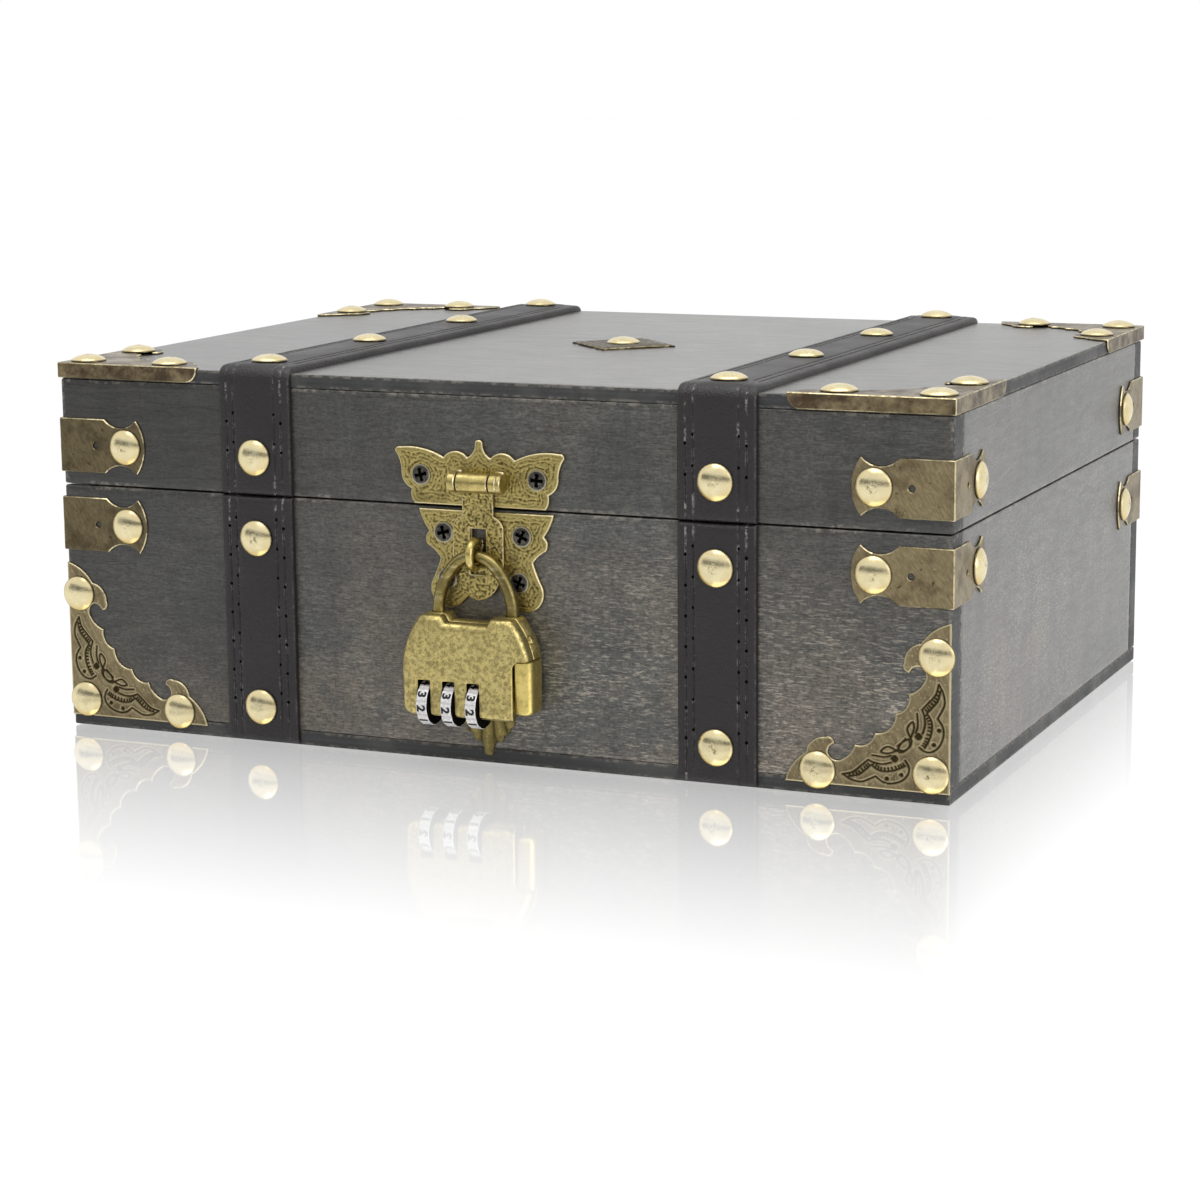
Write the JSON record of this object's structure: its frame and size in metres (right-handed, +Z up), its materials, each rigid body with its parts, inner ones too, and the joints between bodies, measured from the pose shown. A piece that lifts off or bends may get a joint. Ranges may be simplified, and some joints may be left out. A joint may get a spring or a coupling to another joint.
{
  "type": "treasure chest box",
  "caption": "Stained wooden keepsake chest with a hinged lid, leather straps, brass corner fittings, a butterfly hasp and a hanging dial padlock; it stores small things.",
  "frame": {"origin": "centre of the wooden underside, on the surface the box stands on", "axes": "+X to the right along the front, +Y to the back where the hinges are, +Z up"},
  "size_m": [0.2856, 0.2296, 0.1156],
  "materials": {
    "stained_wood": "dark grey stain, matt",
    "leather": "dark brown, worn edges",
    "tack_brass": "worn gold",
    "antique_brass": "antiqued",
    "padlock_brass": "antiqued, mottled",
    "screw_steel": "dulled",
    "dial_metal": "satin with dark figures"
  },
  "bodies": {
    "base": {"base_front_wall": "stained_wood", "base_back_wall": "stained_wood", "base_left_wall": "stained_wood", "base_right_wall": "stained_wood", "base_bottom_panel": "stained_wood", "base_front_strap_left": "leather", "base_front_strap_right": "leather", "base_back_strap_left": "leather", "base_back_strap_right": "leather", "base_corner_strap_front_left": "antique_brass", "base_corner_strap_front_right": "antique_brass", "base_corner_strap_back_left": "antique_brass", "base_corner_strap_back_right": "antique_brass", "ornate_corner_plate_left": "antique_brass", "ornate_corner_plate_right": "antique_brass", "hasp_lower_plate": "antique_brass", "hasp_lower_screws": "screw_steel", "staple": "antique_brass", "leaf_ornament": "antique_brass", "base_strap_tacks": "tack_brass", "base_corner_strap_tacks": "tack_brass", "ornate_plate_tacks": "tack_brass", "hinge_base_leaves": "antique_brass", "hinge_pins": "screw_steel", "hinge_base_screws": "screw_steel"},
    "lid": {"lid_front_wall": "stained_wood", "lid_back_wall": "stained_wood", "lid_left_wall": "stained_wood", "lid_right_wall": "stained_wood", "lid_top_panel": "stained_wood", "lid_strap_left": "leather", "lid_strap_right": "leather", "lid_corner_strap_front_left": "antique_brass", "lid_corner_strap_front_right": "antique_brass", "lid_corner_strap_back_left": "antique_brass", "lid_corner_strap_back_right": "antique_brass", "lid_corner_cover_front_left": "antique_brass", "lid_corner_cover_front_right": "antique_brass", "lid_corner_cover_back_left": "antique_brass", "lid_corner_cover_back_right": "antique_brass", "lid_strap_tacks": "tack_brass", "lid_corner_strap_tacks": "tack_brass", "lid_cover_tacks": "tack_brass", "diamond_plate": "antique_brass", "diamond_tack": "tack_brass", "hasp_upper_plate": "antique_brass", "hasp_upper_screws": "screw_steel", "hasp_pin": "antique_brass", "hinge_lid_leaves": "antique_brass", "hinge_lid_screws": "screw_steel"},
    "hasp": {"hasp_flap": "antique_brass"},
    "shackle": {"padlock_shackle": "padlock_brass"},
    "padlock_case": {"padlock_front_case": "padlock_brass", "padlock_back_case": "padlock_brass", "dial_spindle": "screw_steel", "shackle_retaining_pin": "screw_steel"},
    "dial_left": {"dial_left": "dial_metal"},
    "dial_middle": {"dial_middle": "dial_metal"},
    "dial_right": {"dial_right": "dial_metal"},
    "button": {"padlock_button": "padlock_brass"}
  },
  "joints": [
    {"name": "lid_hinge", "type": "hinge", "parent": "base", "child": "lid", "pos_m": [0, 0.1072, 0.0747], "axis": [-1, 0, 0], "range_deg": [0, 105]},
    {"name": "hasp_hinge", "type": "hinge", "parent": "lid", "child": "hasp", "pos_m": [0, -0.1094, 0.0825], "axis": [-1, 0, 0], "range_deg": [0, 150]},
    {"name": "padlock_swing", "type": "hinge", "parent": "base", "child": "shackle", "pos_m": [0, -0.10973, 0.0615], "axis": [-1, 0, 0], "range_deg": [0, 70]},
    {"name": "shackle_release", "type": "slide", "parent": "shackle", "child": "padlock_case", "axis": [0, 0, -1], "range_m": [0, 0.007]},
    {"name": "dial_left_turn", "type": "hinge", "parent": "padlock_case", "child": "dial_left", "pos_m": [-0.013, -0.1134, 0.0188], "axis": [1, 0, 0], "continuous": true},
    {"name": "dial_middle_turn", "type": "hinge", "parent": "padlock_case", "child": "dial_middle", "pos_m": [-0.00525, -0.1134, 0.0188], "axis": [1, 0, 0], "continuous": true},
    {"name": "dial_right_turn", "type": "hinge", "parent": "padlock_case", "child": "dial_right", "pos_m": [0.0025, -0.1134, 0.0188], "axis": [1, 0, 0], "continuous": true},
    {"name": "button_push", "type": "slide", "parent": "padlock_case", "child": "button", "axis": [-1, 0, 0], "range_m": [0, 0.002], "stiffness_N_per_m": 400}
  ]
}
